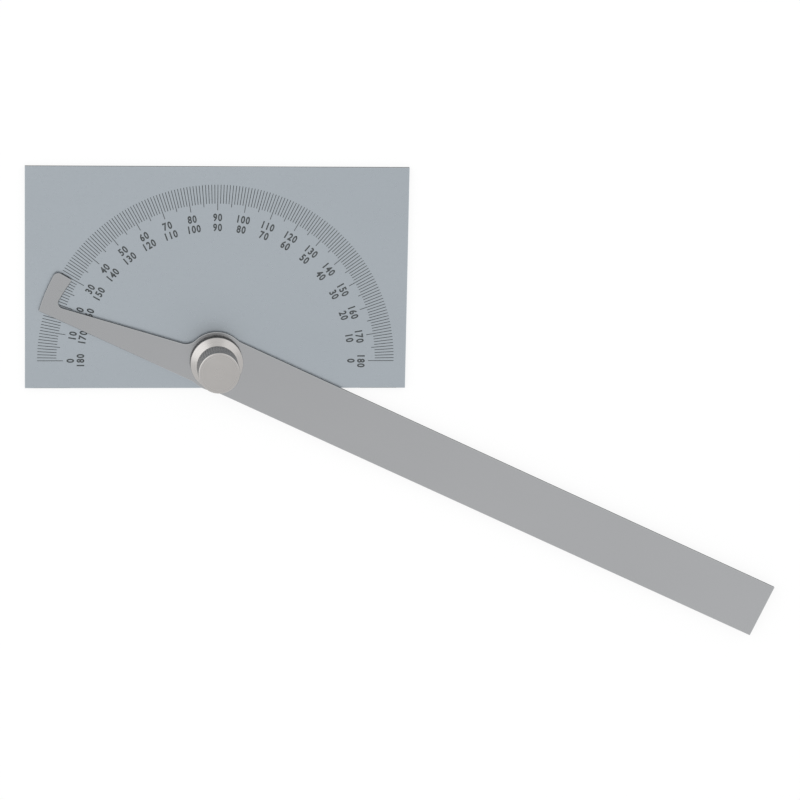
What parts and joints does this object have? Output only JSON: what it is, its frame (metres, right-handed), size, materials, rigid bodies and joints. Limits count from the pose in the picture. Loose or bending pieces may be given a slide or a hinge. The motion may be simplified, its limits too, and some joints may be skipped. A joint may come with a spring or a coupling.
{
  "type": "bevel protractor",
  "caption": "Flat rectangular-head protractor with a half-circle degree scale and a straight arm clamped at its pivot by a round thumb nut.",
  "frame": {"origin": "pivot axis at the plate's back face", "axes": "+X along the plate's base edge towards the blade's side at reading 0, +Y up the plate square to the base edge, +Z out of the graduated face along the pivot"},
  "size_m": [0.171, 0.1081, 0.0145],
  "materials": {
    "satin_plate": "satin stainless with a cool tone, dark filled scale lines and numbers",
    "brushed_arm": "satin stainless with fine scratches along the blade",
    "turned_stud": "turned steel",
    "spring_steel": "plain spring steel",
    "washer_steel": "plain steel",
    "plated_nut": "bright nickel plate, knurled side and faced top"
  },
  "bodies": {
    "head": {"head_plate": "satin_plate", "pivot_stud": "turned_stud"},
    "arm": {"arm": "brushed_arm"},
    "washers": {"spring_washer": "spring_steel", "flat_washer": "washer_steel"},
    "nut": {"clamp_nut": "plated_nut"}
  },
  "joints": [
    {"name": "arm_swing", "type": "hinge", "parent": "head", "child": "arm", "pos_m": [0, 0, 0.00185], "axis": [0, 0, 1], "continuous": true},
    {"name": "nut_turn", "type": "hinge", "parent": "washers", "child": "nut", "pos_m": [0, 0, 0.0088], "axis": [0, 0, 1], "range_deg": [0, 360]},
    {"name": "nut_lift", "type": "slide", "parent": "head", "child": "washers", "axis": [0, 0, 1], "range_m": [0, 0.0008], "deforming": ["spring_washer"]}
  ],
  "couplings": [
    {"joint": "nut_turn", "follows": "nut_lift", "rad_per_m": 7854}
  ]
}
